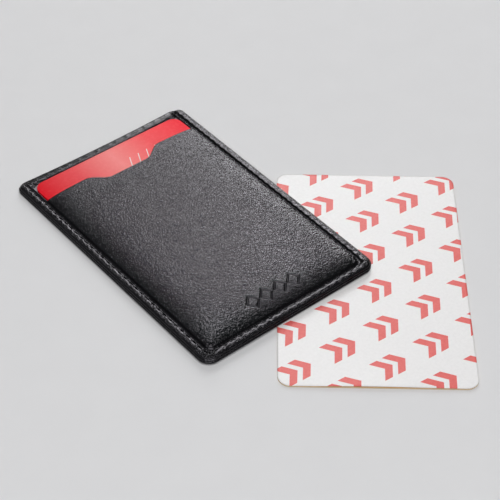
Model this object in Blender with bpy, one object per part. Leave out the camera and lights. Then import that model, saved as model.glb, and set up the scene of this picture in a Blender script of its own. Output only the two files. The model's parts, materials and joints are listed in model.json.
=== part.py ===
"""A leather sleeve for one bank card, lying with one corner on its adhesive pad.

Lengths are metres and +Z is up. The origin is the middle of the sleeve's back face,
+Y runs to the card's mouth and +X across the sleeve. The table lies a little below
the origin, because the pad under one corner makes the sleeve lean.
"""

import math

import bmesh
import bpy
from mathutils import Matrix, Vector

MM = 0.001

# Card, a standard plastic one
CARD_WIDTH = 53.98 * MM
CARD_LENGTH = 85.60 * MM
CARD_THICKNESS = 0.76 * MM
CARD_RADIUS = 3.18 * MM
CARD_EDGE = 0.08 * MM
CARD_CLEARANCE = 0.20 * MM

# Sleeve in plan
SIDE_RIM = 4.00 * MM
CARD_STANDOFF = 0.60 * MM
MOUTH_RIM = 4.40 * MM
CORNER_RADIUS = 3.80 * MM
INNER_RADIUS = 1.20 * MM
MOUTH_BOW = 0.60 * MM
MOUTH_SETBACK = 13.0 * MM
NOTCH_FLAT = 11.0 * MM
NOTCH_FLANK = 7.50 * MM
NOTCH_DEPTH = 3.30 * MM
ARM_WIDTH = 2.80 * MM
ARM_END = 1.60 * MM

# Layers of the sleeve
LEATHER = 0.45 * MM
GLUE = 0.04 * MM
BOARD = 0.30 * MM
SHIELD = 0.08 * MM
LINING = 0.15 * MM
SEAM_GAP = 0.05 * MM
FRONT_EDGE = 1.05 * MM

# Turned edge, groove and crowned panel, as distances in from the outline
STUCK_INSET = 20.7 * MM
HEM_WIDTH = 2.90 * MM
BEAD_WIDTH = 1.90 * MM
BEAD_RISE = 0.05 * MM
GROOVE_INSET = 2.60 * MM
GROOVE_WIDTH = 0.60 * MM
GROOVE_DEPTH = 0.32 * MM
SHOULDER_RUN = 0.35 * MM
MOUTH_HEM = 0.90 * MM
MOUTH_ROLL = 0.35 * MM
SHIELD_MARGIN = 0.80 * MM
PADDING_MARGIN = 2.00 * MM
PADDING_EDGE = 0.12 * MM
CROWN_RISE = 0.40 * MM
CROWN_RUN = 8.00 * MM

# Corner gathers of the turned leather
PLEATS = 5
PLEAT_DEPTH = 0.14 * MM

# Adhesive pad
PAD_WIDTH = 54.0 * MM
PAD_LENGTH = 86.5 * MM
PAD_RADIUS = 3.50 * MM
LINER = 0.10 * MM
ADHESIVE = 0.10 * MM
CARRIER = 0.10 * MM
PAD_GLUE = 0.02 * MM
PAD_X = 28.6 * MM
PAD_Y = -47.7 * MM
PAD_TURN = math.radians(-39.9)
REST_GAP = 0.12 * MM

# Peeling corner of the printed liner
PEEL_LEG = 30.0 * MM
PEEL_GAP = 0.30 * MM

# Mesh steps
CORNER_STEPS = 2 * PLEATS
LONG_SIDE_STEPS = 4
SHORT_SIDE_STEPS = 8
ROLL_STEPS = 6
MOUTH_STEPS = 44

# Sizes that follow from the ones above
SLEEVE_WIDTH = CARD_WIDTH + 2 * SIDE_RIM
SLEEVE_LENGTH = CARD_LENGTH + SIDE_RIM + CARD_STANDOFF + MOUTH_RIM
MOUTH_Y = SLEEVE_LENGTH / 2 - MOUTH_SETBACK
CARD_Y = SLEEVE_LENGTH / 2 - MOUTH_RIM - CARD_LENGTH / 2

BACK_BOARD_Z = LEATHER + GLUE
BACK_SHIELD_Z = BACK_BOARD_Z + BOARD + GLUE
BACK_LINING_Z = BACK_SHIELD_Z + SHIELD + GLUE
BACK_TOP = BACK_LINING_Z + LINING
CARD_Z = BACK_TOP + CARD_CLEARANCE
FRONT_LINING_Z = CARD_Z + CARD_THICKNESS + CARD_CLEARANCE
FRONT_SHIELD_Z = FRONT_LINING_Z + LINING + GLUE
PADDING_Z = FRONT_SHIELD_Z + SHIELD + GLUE
SEAM_Z = BACK_TOP + SEAM_GAP
RIM_TOP = SEAM_Z + FRONT_EDGE

LINING_INSET = SIDE_RIM + SHOULDER_RUN / 2
SHIELD_INSET = LINING_INSET + SHIELD_MARGIN
PADDING_INSET = LINING_INSET + PADDING_MARGIN
CROWN_INSET = PADDING_INSET + CROWN_RUN

PAD_THICKNESS = 2 * LINER + 2 * ADHESIVE + CARRIER + 4 * PAD_GLUE


def clear_scene():
    for item in list(bpy.data.objects):
        bpy.data.objects.remove(item, do_unlink=True)


def material(name, colour, roughness, metallic=0.0):
    made = bpy.data.materials.new(name)
    made.use_nodes = True
    shader = made.node_tree.nodes["Principled BSDF"]
    shader.inputs["Base Color"].default_value = (*colour, 1.0)
    shader.inputs["Roughness"].default_value = roughness
    shader.inputs["Metallic"].default_value = metallic
    return made


def between(start, end, steps):
    """Points strictly between two points, evenly spaced."""
    return [start.lerp(end, step / steps) for step in range(1, steps)]


def rounded_ring(half_width, half_length, radius, z, bow=0.0, pleat=0.0):
    """One closed ring of a rounded rectangle, counter-clockwise from the right mouth corner.

    The mouth side, at +Y, curves inwards by bow at its middle. Each corner is gathered
    into pleats whose valleys lie in and down by pleat.
    """
    corners = ((1, 1, 0), (-1, 1, 90), (-1, -1, 180), (1, -1, 270))
    arcs = []
    for across, along, start in corners:
        centre = Vector((across * (half_width - radius), along * (half_length - radius), z))
        arc = []
        for step in range(CORNER_STEPS + 1):
            share = step / CORNER_STEPS
            angle = math.radians(start + 90 * share)
            valley = pleat * (1 - math.cos(2 * math.pi * PLEATS * share)) / 2
            reach = radius - valley
            arc.append(centre + Vector((reach * math.cos(angle), reach * math.sin(angle), -valley)))
        arcs.append(arc)
    ring = []
    for index, arc in enumerate(arcs):
        ring += arc
        steps = SHORT_SIDE_STEPS if index % 2 == 0 else LONG_SIDE_STEPS
        side = between(arc[-1], arcs[(index + 1) % 4][0], steps)
        if index == 0:
            for point in side:
                share = point.x / (half_width - radius)
                point.y -= bow * (1 - share * share)
        ring += side
    return ring


def sleeve_ring(inset, z, pleat=0.0):
    """The sleeve's outline moved inwards by inset, at height z."""
    radius = max(CORNER_RADIUS - inset, INNER_RADIUS)
    return rounded_ring(SLEEVE_WIDTH / 2 - inset, SLEEVE_LENGTH / 2 - inset, radius, z, MOUTH_BOW, pleat)


def mesh_object(name, build, finish):
    """An object whose mesh is filled by build and faces outwards."""
    shape = bmesh.new()
    build(shape)
    bmesh.ops.recalc_face_normals(shape, faces=shape.faces)
    mesh = bpy.data.meshes.new(name)
    shape.to_mesh(mesh)
    shape.free()
    made = bpy.data.objects.new(name, mesh)
    bpy.context.scene.collection.objects.link(made)
    if finish:
        mesh.materials.append(finish)
        mesh.shade_smooth()
        mesh.set_sharp_from_angle(angle=math.radians(35))
    return made


def loft(name, rings, finish):
    """A closed solid through rings of equally many points, with a flat cap at each end."""

    def build(shape):
        loops = [[shape.verts.new(point) for point in ring] for ring in rings]
        count = len(loops[0])
        for lower, upper in zip(loops, loops[1:]):
            for index in range(count):
                after = (index + 1) % count
                shape.faces.new((lower[index], lower[after], upper[after], upper[index]))
        shape.faces.new(list(reversed(loops[0])))
        shape.faces.new(loops[-1])

    return mesh_object(name, build, finish)


def turned_edge(z, height, pleat):
    """Rings round the half-round outer edge of a turned hem, from below to above."""
    radius = height / 2
    rings = []
    for step in range(ROLL_STEPS + 1):
        angle = math.pi * step / ROLL_STEPS
        inset = radius * (1 - math.sin(angle))
        gather = pleat * step / ROLL_STEPS
        rings.append(sleeve_ring(inset, z + radius * (1 - math.cos(angle)), gather))
    return rings


def plate(name, inset, z, thickness, finish):
    """A flat sheet inside the sleeve's outline."""
    return loft(name, [sleeve_ring(inset, z), sleeve_ring(inset, z + thickness)], finish)


def subtract(target, cutter):
    """Cuts one object with another and keeps the cutter out of the model."""
    cutter.hide_render = True
    cutter.display_type = "WIRE"
    cutter.parent = target.parent
    cut = target.modifiers.new(cutter.name, "BOOLEAN")
    cut.operation = "DIFFERENCE"
    cut.solver = "EXACT"
    cut.object = cutter


def mouth_line(x, setback):
    """Height along Y of the mouth at x: straight, with a shallow thumb notch in its middle."""
    travel = (abs(x) - NOTCH_FLAT / 2) / NOTCH_FLANK
    travel = min(max(travel, 0.0), 1.0)
    notch = NOTCH_DEPTH * (1 + math.cos(math.pi * travel)) / 2
    return MOUTH_Y - setback - notch


def mouth_cutter(name, half_span, levels):
    """Everything beyond the mouth between the arms, and beyond the arms' ends.

    levels pairs a height with how far the mouth is set back there.
    """
    far = SLEEVE_LENGTH
    arm_end = SLEEVE_LENGTH / 2 - ARM_END
    rings = []
    for z, setback in levels:
        ring = []
        for step in range(MOUTH_STEPS + 1):
            x = half_span * (2 * step / MOUTH_STEPS - 1)
            ring.append(Vector((x, mouth_line(x, setback), z)))
        ring.append(Vector((half_span, arm_end, z)))
        ring.append(Vector((far, arm_end, z)))
        ring.append(Vector((far, far, z)))
        ring.append(Vector((-far, far, z)))
        ring.append(Vector((-far, arm_end, z)))
        ring.append(Vector((-half_span, arm_end, z)))
        rings.append(ring)
    return loft(name, rings, None)


def trim_at_mouth(target, setback):
    """Ends an inner layer just short of the mouth's folded edge."""
    top = 2 * PADDING_Z
    subtract(target, mouth_cutter(target.name + "_trim", SLEEVE_WIDTH, [(0.0, setback), (top, setback)]))


def back_cover(leather):
    """Back leather: a flat sheet whose edge is turned up and over on all four sides.

    The field in the middle of its back face is where it is stuck on.
    """
    rings = [sleeve_ring(STUCK_INSET, 0.0)]
    rings += turned_edge(0.0, BACK_TOP, PLEAT_DEPTH / 2)
    rings.append(sleeve_ring(BEAD_WIDTH, BACK_TOP, PLEAT_DEPTH / 4))
    rings.append(sleeve_ring(HEM_WIDTH, BACK_TOP - LINING))
    rings.append(sleeve_ring(HEM_WIDTH, LEATHER))
    return loft("sleeve_back_cover", rings, leather)


def cavity_profile(extra):
    """Inset and height of the space under the front leather, from its side to its middle."""
    edge = PADDING_Z + PADDING_EDGE + GLUE
    crown = edge + CROWN_RISE
    return (
        (LINING_INSET, FRONT_SHIELD_Z + extra),
        (SHIELD_INSET, PADDING_Z + extra),
        (PADDING_INSET, edge + extra),
        (PADDING_INSET + CROWN_RUN / 2, edge + 0.7 * CROWN_RISE + extra),
        (CROWN_INSET, crown + extra),
    )


def front_cover(leather):
    """Front leather: a turned bead, a stitching groove and a crowned panel with a notched mouth."""
    groove_z = RIM_TOP - GROOVE_DEPTH
    groove_end = GROOVE_INSET + GROOVE_WIDTH
    wall_top = FRONT_SHIELD_Z + LEATHER / 2

    rings = [sleeve_ring(CROWN_INSET, FRONT_LINING_Z)]
    rings.append(sleeve_ring(SIDE_RIM, FRONT_LINING_Z))
    rings.append(sleeve_ring(SIDE_RIM - SHOULDER_RUN / 2, FRONT_LINING_Z - LINING))
    rings.append(sleeve_ring(groove_end + LEATHER / 2, groove_z - LEATHER))
    rings.append(sleeve_ring(HEM_WIDTH, groove_z - LEATHER))
    rings.append(sleeve_ring(HEM_WIDTH, SEAM_Z))
    rings += turned_edge(SEAM_Z, FRONT_EDGE, PLEAT_DEPTH)
    rings.append(sleeve_ring((FRONT_EDGE / 2 + BEAD_WIDTH) / 2, RIM_TOP + BEAD_RISE, PLEAT_DEPTH))
    rings.append(sleeve_ring(BEAD_WIDTH, RIM_TOP, PLEAT_DEPTH))
    rings.append(sleeve_ring(GROOVE_INSET, groove_z, PLEAT_DEPTH / 2))
    rings.append(sleeve_ring(groove_end, groove_z))
    rings.append(sleeve_ring(SIDE_RIM - SHOULDER_RUN, (groove_z + wall_top) / 2))
    rings.append(sleeve_ring(SIDE_RIM - SHOULDER_RUN / 3, wall_top))
    for inset, z in cavity_profile(LEATHER):
        rings.append(sleeve_ring(inset, z))
    made = loft("sleeve_front_cover", rings, leather)

    cavity = [sleeve_ring(LINING_INSET, CARD_Z)]
    for inset, z in cavity_profile(0.0):
        cavity.append(sleeve_ring(inset, z))
    hollow = loft("sleeve_front_hollow", cavity, None)
    trim_at_mouth(hollow, MOUTH_HEM)
    subtract(made, hollow)

    top = PADDING_Z + PADDING_EDGE + GLUE + CROWN_RISE + LEATHER
    levels = (
        (BACK_TOP, 0.0),
        (top - MOUTH_ROLL, 0.0),
        (top - MOUTH_ROLL / 2, 0.14 * MOUTH_ROLL),
        (top - MOUTH_ROLL / 7, 0.50 * MOUTH_ROLL),
        (top + MOUTH_ROLL / 7, 1.30 * MOUTH_ROLL),
    )
    subtract(made, mouth_cutter("sleeve_mouth_opening", SLEEVE_WIDTH / 2 - ARM_WIDTH, levels))
    return made


def front_padding(foam):
    """Thin foam that crowns the front leather, thinned out towards its edge."""
    rings = [sleeve_ring(PADDING_INSET, PADDING_Z)]
    for inset, z in cavity_profile(-GLUE)[2:]:
        rings.append(sleeve_ring(inset, z))
    made = loft("sleeve_front_padding", rings, foam)
    trim_at_mouth(made, MOUTH_HEM + GLUE)
    return made


def front_sheet(name, inset, z, thickness, finish):
    """A flat sheet under the front leather, ending at the mouth's folded edge."""
    made = plate(name, inset, z, thickness, finish)
    trim_at_mouth(made, MOUTH_HEM + GLUE)
    return made


def bank_card(plastic):
    """The card, its origin on the line that it slides along."""
    half_width = CARD_WIDTH / 2
    half_length = CARD_LENGTH / 2
    rings = []
    for inset, z in (
        (CARD_EDGE, 0.0),
        (0.0, CARD_EDGE),
        (0.0, CARD_THICKNESS - CARD_EDGE),
        (CARD_EDGE, CARD_THICKNESS),
    ):
        rings.append(rounded_ring(half_width - inset, half_length - inset, CARD_RADIUS - inset, z))
    made = loft("bank_card", rings, plastic)
    made.location = (0.0, CARD_Y, CARD_Z)
    return made


def pad_ring(z):
    return rounded_ring(PAD_WIDTH / 2, PAD_LENGTH / 2, PAD_RADIUS, z)


def pad_sheet(name, z, thickness, finish):
    return loft(name, [pad_ring(z), pad_ring(z + thickness)], finish)


def fold_frame():
    """The liner's fold: a point on it at the liner's top face, and its turn about Z.

    Local +Y points from the fold to the pad's free corner.
    """
    middle = Vector((PAD_WIDTH / 2 - PEEL_LEG / 2, -PAD_LENGTH / 2 + PEEL_LEG / 2, PAD_THICKNESS))
    return middle, math.radians(-135)


def fold_cutter(name, side):
    """A block over one side of the fold: +1 is the free corner's side, -1 the held side."""
    middle, turn = fold_frame()
    near = -side * PEEL_GAP / 2
    far = side * PAD_LENGTH * 2
    rings = []
    for z in (-PAD_THICKNESS, PAD_THICKNESS):
        ring = []
        for across, along in ((-far, near), (far, near), (far, far), (-far, far)):
            local = Vector((across, along, z))
            ring.append(Matrix.Rotation(turn, 3, "Z") @ local + middle)
        rings.append(ring)
    return loft(name, rings, None)


def printed_liner(paper):
    """The upper release liner, in two solids that meet at the fold where it is peeled back."""
    z = PAD_THICKNESS - LINER
    held = pad_sheet("pad_printed_liner", z, LINER, paper)
    corner = pad_sheet("pad_liner_corner", z, LINER, paper)
    return held, corner


def seat_on_fold(corner):
    """Moves the free corner's origin onto the fold, with local +X along it."""
    middle, turn = fold_frame()
    place = Matrix.Translation(middle) @ Matrix.Rotation(turn, 4, "Z")
    corner.data.transform(place.inverted())
    corner.matrix_basis = place


def lean_direction():
    """Across the pad's near long edge, away from the sleeve's resting corner."""
    return Vector((math.cos(PAD_TURN), math.sin(PAD_TURN), 0.0))


def resting_reach():
    """How far the back face's lowest corner lies from the origin along the lean."""
    edge = BACK_TOP / 2
    across = lean_direction()
    radius = CORNER_RADIUS - edge
    reach = (SLEEVE_WIDTH / 2 - edge - radius) * abs(across.x)
    reach += (SLEEVE_LENGTH / 2 - edge - radius) * abs(across.y)
    return reach + radius


def lean_angle():
    """Tilt that lays one corner on the table and the back face on the pad's edge."""
    pad_edge = Vector((PAD_X, PAD_Y, 0.0)).dot(lean_direction()) - PAD_WIDTH / 2
    return math.atan((PAD_THICKNESS + REST_GAP) / (pad_edge + resting_reach()))


def empty(name, matrix):
    made = bpy.data.objects.new(name, None)
    bpy.context.scene.collection.objects.link(made)
    made.matrix_basis = matrix
    return made


def hang(frame, *pieces):
    for piece in pieces:
        piece.parent = frame
        for modifier in piece.modifiers:
            hang(frame, modifier.object)


def build_sleeve(frame):
    leather = material("black_leather", (0.035, 0.034, 0.037), 0.48)
    board = material("grey_board", (0.42, 0.40, 0.37), 0.85)
    foil = material("shield_foil", (0.72, 0.73, 0.75), 0.30, 1.0)
    fabric = material("grey_lining", (0.20, 0.20, 0.21), 0.90)
    foam = material("padding_foam", (0.62, 0.61, 0.58), 0.95)
    hang(
        frame,
        back_cover(leather),
        plate("sleeve_back_board", HEM_WIDTH + GLUE, BACK_BOARD_Z, BOARD, board),
        plate("sleeve_back_shield", HEM_WIDTH + GLUE, BACK_SHIELD_Z, SHIELD, foil),
        plate("sleeve_back_lining", HEM_WIDTH + GLUE, BACK_LINING_Z, LINING, fabric),
        front_sheet("sleeve_front_lining", LINING_INSET + GLUE, FRONT_LINING_Z, LINING, fabric),
        front_sheet("sleeve_front_shield", SHIELD_INSET + GLUE, FRONT_SHIELD_Z, SHIELD, foil),
        front_padding(foam),
        front_cover(leather),
    )


def build_card(frame):
    hang(frame, bank_card(material("red_plastic", (0.78, 0.06, 0.10), 0.22)))


def build_pad(frame):
    paper = material("printed_liner_paper", (0.83, 0.81, 0.80), 0.45)
    glue = material("clear_adhesive", (0.80, 0.74, 0.62), 0.25)
    film = material("carrier_film", (0.86, 0.86, 0.84), 0.30)
    kraft = material("backing_paper", (0.62, 0.42, 0.24), 0.55)
    z = 0.0
    hang(frame, pad_sheet("pad_backing_liner", z, LINER, kraft))
    z += LINER + PAD_GLUE
    hang(frame, pad_sheet("pad_lower_adhesive", z, ADHESIVE, glue))
    z += ADHESIVE + PAD_GLUE
    hang(frame, pad_sheet("pad_carrier_film", z, CARRIER, film))
    z += CARRIER + PAD_GLUE
    hang(frame, pad_sheet("pad_upper_adhesive", z, ADHESIVE, glue))
    held, corner = printed_liner(paper)
    hang(frame, held, corner)
    bpy.context.view_layer.update()
    subtract(held, fold_cutter("pad_fold_held", 1))
    seat_on_fold(corner)
    subtract(corner, fold_cutter("pad_fold_corner", -1))


def build():
    clear_scene()
    lean = lean_angle()
    across = lean_direction()
    lean_axis = Vector((0.0, 0.0, 1.0)).cross(across)
    table_z = -resting_reach() * math.sin(lean)
    sleeve = empty("sleeve_frame", Matrix.Rotation(-lean, 4, lean_axis))
    place = Matrix.Translation((PAD_X, PAD_Y, table_z)) @ Matrix.Rotation(PAD_TURN, 4, "Z")
    pad = empty("pad_frame", place)
    build_sleeve(sleeve)
    build_card(sleeve)
    build_pad(pad)


build()
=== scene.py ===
"""Looks of a leather card sleeve, the bank card in it and the adhesive pad under its corner.

Shapes are worked out in millimetres in the sleeve's or the pad's own frame, where +Y runs
along the piece and +Z out of its upper face, and are placed in the row frame in metres.
"""

import json
import math

import bmesh
import bpy
import numpy as np
from mathutils import Matrix, Vector


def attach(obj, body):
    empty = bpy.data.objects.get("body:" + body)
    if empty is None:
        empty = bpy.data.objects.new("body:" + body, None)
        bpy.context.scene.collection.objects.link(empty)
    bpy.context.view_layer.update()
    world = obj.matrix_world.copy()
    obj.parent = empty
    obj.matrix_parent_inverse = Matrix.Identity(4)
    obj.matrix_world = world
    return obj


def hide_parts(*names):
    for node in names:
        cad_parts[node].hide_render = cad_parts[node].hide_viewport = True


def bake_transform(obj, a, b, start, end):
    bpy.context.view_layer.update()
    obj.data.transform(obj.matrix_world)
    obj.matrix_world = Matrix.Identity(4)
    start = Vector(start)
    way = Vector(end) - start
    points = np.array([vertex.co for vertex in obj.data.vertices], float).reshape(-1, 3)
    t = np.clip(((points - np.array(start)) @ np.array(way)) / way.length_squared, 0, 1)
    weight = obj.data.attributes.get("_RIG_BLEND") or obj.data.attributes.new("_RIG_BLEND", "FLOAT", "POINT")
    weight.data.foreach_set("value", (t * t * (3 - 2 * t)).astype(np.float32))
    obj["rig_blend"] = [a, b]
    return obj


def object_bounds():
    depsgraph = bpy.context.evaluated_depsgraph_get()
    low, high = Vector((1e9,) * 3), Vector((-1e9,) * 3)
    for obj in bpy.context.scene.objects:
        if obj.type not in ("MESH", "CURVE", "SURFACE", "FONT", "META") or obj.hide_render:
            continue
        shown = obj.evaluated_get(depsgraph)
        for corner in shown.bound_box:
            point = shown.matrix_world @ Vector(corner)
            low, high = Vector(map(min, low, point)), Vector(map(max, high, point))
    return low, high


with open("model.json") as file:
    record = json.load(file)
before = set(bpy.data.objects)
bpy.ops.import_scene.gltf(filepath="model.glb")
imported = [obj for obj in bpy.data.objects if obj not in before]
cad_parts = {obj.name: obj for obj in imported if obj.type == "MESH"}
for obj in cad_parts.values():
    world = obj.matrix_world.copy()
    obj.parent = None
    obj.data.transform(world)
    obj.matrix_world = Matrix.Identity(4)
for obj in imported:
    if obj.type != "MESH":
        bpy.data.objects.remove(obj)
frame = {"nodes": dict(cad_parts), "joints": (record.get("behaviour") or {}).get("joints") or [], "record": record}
cad_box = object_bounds()

MM = 0.001

# Camera of the photograph, which looks at a point on the table between sleeve and pad
VIEW_AZIMUTH = -39.99
VIEW_ELEVATION = 43.34
VIEW_ROLL = 1.05
VIEW_DISTANCE = 441.4 * MM
VIEW_X = 8.04 * MM
VIEW_Y = -17.94 * MM
FOCAL_LENGTH = 108.99
SENSOR_WIDTH = 36.0

# Sleeve in plan, in millimetres
CORNER_RADIUS = 3.8
GROOVE_RADIUS = 2.2
FIELD_INSET = 6.4
SHARP_FROM = 4.6
MOUTH_BOW = 0.6
MOUTH_SETBACK = 13.0
NOTCH_FLAT = 12.5
NOTCH_FLANK = 7.5
NOTCH_DEPTH = 3.9
ARM_WIDTH = 3.6
ARM_END = 1.6

# Leather of the front
LEATHER = 0.45
GLUE = 0.04
RIM_HEIGHT = 1.05
GROOVE_DEPTH = 0.45
SHOULDER_TOP = 4.20
SHOULDER_RISE = 0.43
CROWN_RISE = 0.17
CROWN_RUN = 3.9
CORNER_DIP = 0.24
CORNER_REACH = 2.6
HEM_DEPTH = 0.9
LIP_RADIUS = 0.42
LIP_SHARE = 0.35
LIP_BULGE = 0.12
TIP_ROLL = 2.0
TIP_END = 0.38
EDGE_STEPS = 8
FRONT_EDGE_BULGE = 0.42
FRONT_EDGE_RIPPLE = 0.03
FOOT_INSET = 1.6

# Stitching
STITCH_PITCH = 2.68
STITCH_LENGTH = 1.75
STITCH_INSET = 2.70
THREAD_RADIUS = 0.13
THREAD_DIVE = 0.30
THREAD_TAPER = 0.25
SCALLOP = 0.13
STITCH_PULL = 0.035
CRUMPLE = 0.10
UNEVEN = 0.05
LEFT_NARROWING = 0.16

# Insets across the bead at which a change starts, is full, is still full, and ends
BEAD_SPAN = (0.9, 1.7, 2.5, 3.2)
NARROW_SPAN = (1.7, 2.1, 2.6, 3.3)
GATHER_SPAN = (0.5, 1.3, 2.4, 3.1)
PULL_SPAN = (1.0, 1.6, 2.2, 2.8)
# Lighter rubbed bands on the front's ridge and on the back's edge, partly wear and partly a painted highlight
RUBBED_HIGHLIGHT_SPAN = (1.45, 1.75, 2.15, 2.3)
BACK_GATHER_SPAN = (0.2, 0.9, 2.2, 2.8)
BACK_RUBBED_HIGHLIGHT_SPAN = (0.5, 0.9, 2.0, 2.5)

# Adhesive pad's corners
PAD_RADIUS = 3.5

# Corner gathers, and the mitred fold at the right bottom corner
PLEATS = 5
PLEAT_DEPTH = 0.30
CREASE_INSET = 2.45
CREASE_RISE = 0.14
CREASE_WIDTH = 0.16
CREASE_ENDS = ((0.35, 1.4), (-1.5, -0.35), (0.7, -0.7))

# Mesh steps
STEP = 0.34
CORNER_STEPS = 40
TOP_PICK = 2
UNDER_PICK = 8
LINING_STEP = 2.5
FOAM_STEP = 1.2
PAPER_STEP = 1.1
WELD = 0.002


def joint(name):
    return next(j for j in frame["joints"] if j["name"] == name)


def mount(name):
    return next(m for m in frame["record"]["mounts"] if m["name"] == name)


def placed(x_axis, y_axis, z_axis, origin):
    """The matrix of a frame with these axes and this origin."""
    return Matrix.Translation(origin) @ Matrix((x_axis, y_axis, z_axis)).transposed().to_4x4()


def sleeve_place():
    along = Vector(joint("card_slide")["axis"]).normalized()
    up = -Vector(mount("sleeve_back")["axis"]).normalized()
    across = along.cross(up).normalized()
    return placed(across, up.cross(across), up, Vector((0, 0, 0)))


def pad_place():
    across = Vector(joint("pad_slide")["axis"]).normalized()
    up = Vector((0, 0, 1))
    return placed(across, up.cross(across), up, Vector(mount("pad_under_face")["pos_m"]))


SLEEVE = sleeve_place()
PAD = pad_place()


def local_box(node, place=SLEEVE):
    """Lowest and highest corner of a CAD node in a piece's own frame, in millimetres."""
    inverse = place.inverted()
    points = np.array([inverse @ v.co for v in frame["nodes"][node].data.vertices]) / MM
    return points.min(0), points.max(0)


BACK_LOW, BACK_HIGH = local_box("sleeve_back_cover")
TRAY_LOW, TRAY_HIGH = local_box("sleeve_back_lining")
FRONT_LOW, FRONT_HIGH = local_box("sleeve_front_cover")
LINING_LOW, LINING_HIGH = local_box("sleeve_front_lining")
SHIELD_TOP = local_box("sleeve_front_shield")[1][2]
FOAM_LOW, FOAM_HIGH = local_box("sleeve_front_padding")
LINER_LOW, LINER_HIGH = local_box("pad_printed_liner", PAD)

HALF_WIDTH = (BACK_HIGH[0] - BACK_LOW[0]) / 2
HALF_LENGTH = (BACK_HIGH[1] - BACK_LOW[1]) / 2
SEAM_Z = FRONT_LOW[2]
BACK_TOP = BACK_HIGH[2]
RIM_TOP = SEAM_Z + RIM_HEIGHT
GROOVE_Z = RIM_TOP - GROOVE_DEPTH
SHOULDER_Z = LINING_LOW[2] + SHOULDER_RISE
CROWN = FRONT_HIGH[2] + CROWN_RISE - SHOULDER_Z
MOUTH_Y = HALF_LENGTH - MOUTH_SETBACK
ARM_TOP = HALF_LENGTH - ARM_END


def smooth(low, high, value):
    """0 below low, 1 above high, and a smooth rise between them."""
    share = np.clip((value - low) / (high - low), 0.0, 1.0)
    return share * share * (3 - 2 * share)


def hump(low, top_low, top_high, high, value):
    """1 between the two tops, 0 outside low and high, and smooth slopes."""
    return smooth(low, top_low, value) * (1 - smooth(top_high, high, value))


# Rate in radians per millimetre and phase of each wave that wander adds up
WAVES = ((1.577, 0.0), (2.603, 1.9), (4.199, 4.2), (6.631, 0.7))
SEED_PHASE = 1.7
WAVE_SUM = 1.6


def wander(s, seed):
    """Smooth irregular waves along a line, from about -1 to 1, the same each time."""
    total = 0.0
    for count, (rate, phase) in enumerate(WAVES, start=1):
        total = total + np.sin(s * rate + phase + seed * SEED_PHASE) / count
    return total / WAVE_SUM


# Outline of the sleeve and its stations


def corner_radius(inset):
    """Radius of the outline's corner at that inset: none from the field inwards."""
    radius = max(CORNER_RADIUS - inset, GROOVE_RADIUS)
    if inset > SHARP_FROM:
        radius *= max(0.0, (FIELD_INSET - inset) / (FIELD_INSET - SHARP_FROM))
    return radius


def mouth_line(x):
    """Height along Y of the mouth at x: straight, with a shallow thumb notch in its middle."""
    travel = np.clip((np.abs(x) - NOTCH_FLAT / 2) / NOTCH_FLANK, 0.0, 1.0)
    return MOUTH_Y - NOTCH_DEPTH * (1 + np.cos(np.pi * travel)) / 2


def shares(length, close=()):
    """Places from 0 to 1 along a length, STEP apart, with some chosen ones near its start."""
    first = close[-1] if close else 0.0
    count = max(2, round((length - first) / STEP))
    even = np.linspace(first, length, count + 1)
    return np.concatenate([np.array(close[:-1]), even]) / length


FIELD_LENGTH = MOUTH_Y + HALF_LENGTH - FIELD_INSET
MOUTH_ROWS = (0.0, 0.04, 0.09, 0.15, 0.22, 0.31, 0.42, 0.6, 0.88, 0.9, 1.2)
SIDE = shares(FIELD_LENGTH, MOUTH_ROWS)
BOTTOM = shares(2 * (HALF_WIDTH - FIELD_INSET))
ARM = shares(ARM_TOP - MOUTH_Y)
FULL_SIDE = shares(2 * (HALF_LENGTH - FIELD_INSET))
ARC = np.linspace(0.0, 1.0, CORNER_STEPS + 1)


def arc(centre_x, centre_y, radius, start):
    """A quarter circle's points, anticlockwise from that angle in degrees."""
    angle = np.radians(start + 90 * ARC)
    return np.stack([centre_x + radius * np.cos(angle), centre_y + radius * np.sin(angle)], 1)


def line(x0, y0, x1, y1, share):
    return np.stack([x0 + (x1 - x0) * share, y0 + (y1 - y0) * share], 1)


def arm_side(inset, sign, share):
    """An arm's line at that inset, which follows the corner's arc on its outer side."""
    y = ARM_TOP + (MOUTH_Y - ARM_TOP) * share
    over = np.clip(y - (HALF_LENGTH - CORNER_RADIUS), 0.0, None)
    drawn_in = CORNER_RADIUS - np.sqrt(CORNER_RADIUS**2 - over**2)
    x = HALF_WIDTH - inset - drawn_in * max(0.0, 1 - inset / ARM_WIDTH)
    return np.stack([sign * x, y], 1)


def u_parts(inset, top, side):
    """The sleeve's U at that inset in five parts: down from top, round the bottom and up."""
    width = HALF_WIDTH - inset
    length = HALF_LENGTH - inset
    radius = corner_radius(inset)
    low = radius - length
    turn = width - radius
    return [
        line(-width, top, -width, low, side),
        arc(-turn, low, radius, 180)[1:],
        line(-turn, -length, turn, -length, BOTTOM)[1:],
        arc(turn, low, radius, 270)[1:],
        line(width, low, width, top, 1 - side[::-1])[1:],
    ]


def front_line(inset, arms=True):
    """The front's line at that inset, from the tip of its left arm or from the mouth."""
    parts = u_parts(inset, MOUTH_Y, SIDE)
    if arms:
        parts.insert(0, arm_side(inset, -1, ARM)[:-1])
        parts.append(arm_side(inset, 1, 1 - ARM)[1:])
    return np.concatenate(parts)


def back_line(inset):
    """The back's closed outline at that inset, from the left end of its mouth side."""
    length = HALF_LENGTH - inset
    radius = corner_radius(inset)
    turn = HALF_WIDTH - inset - radius
    mouth = line(turn, length, -turn, length, BOTTOM)[1:]
    mouth[:, 1] -= MOUTH_BOW * (1 - (mouth[:, 0] / turn) ** 2)
    parts = u_parts(inset, length - radius, FULL_SIDE)
    parts.append(arc(turn, length - radius, radius, 0)[1:])
    parts.append(mouth)
    parts.append(arc(-turn, length - radius, radius, 90)[1:])
    return np.concatenate(parts)


def travelled(points):
    """Distance along a line of points to each of them."""
    steps = np.linalg.norm(np.diff(points, axis=0), axis=1)
    return np.concatenate([[0.0], np.cumsum(steps)])


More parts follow.
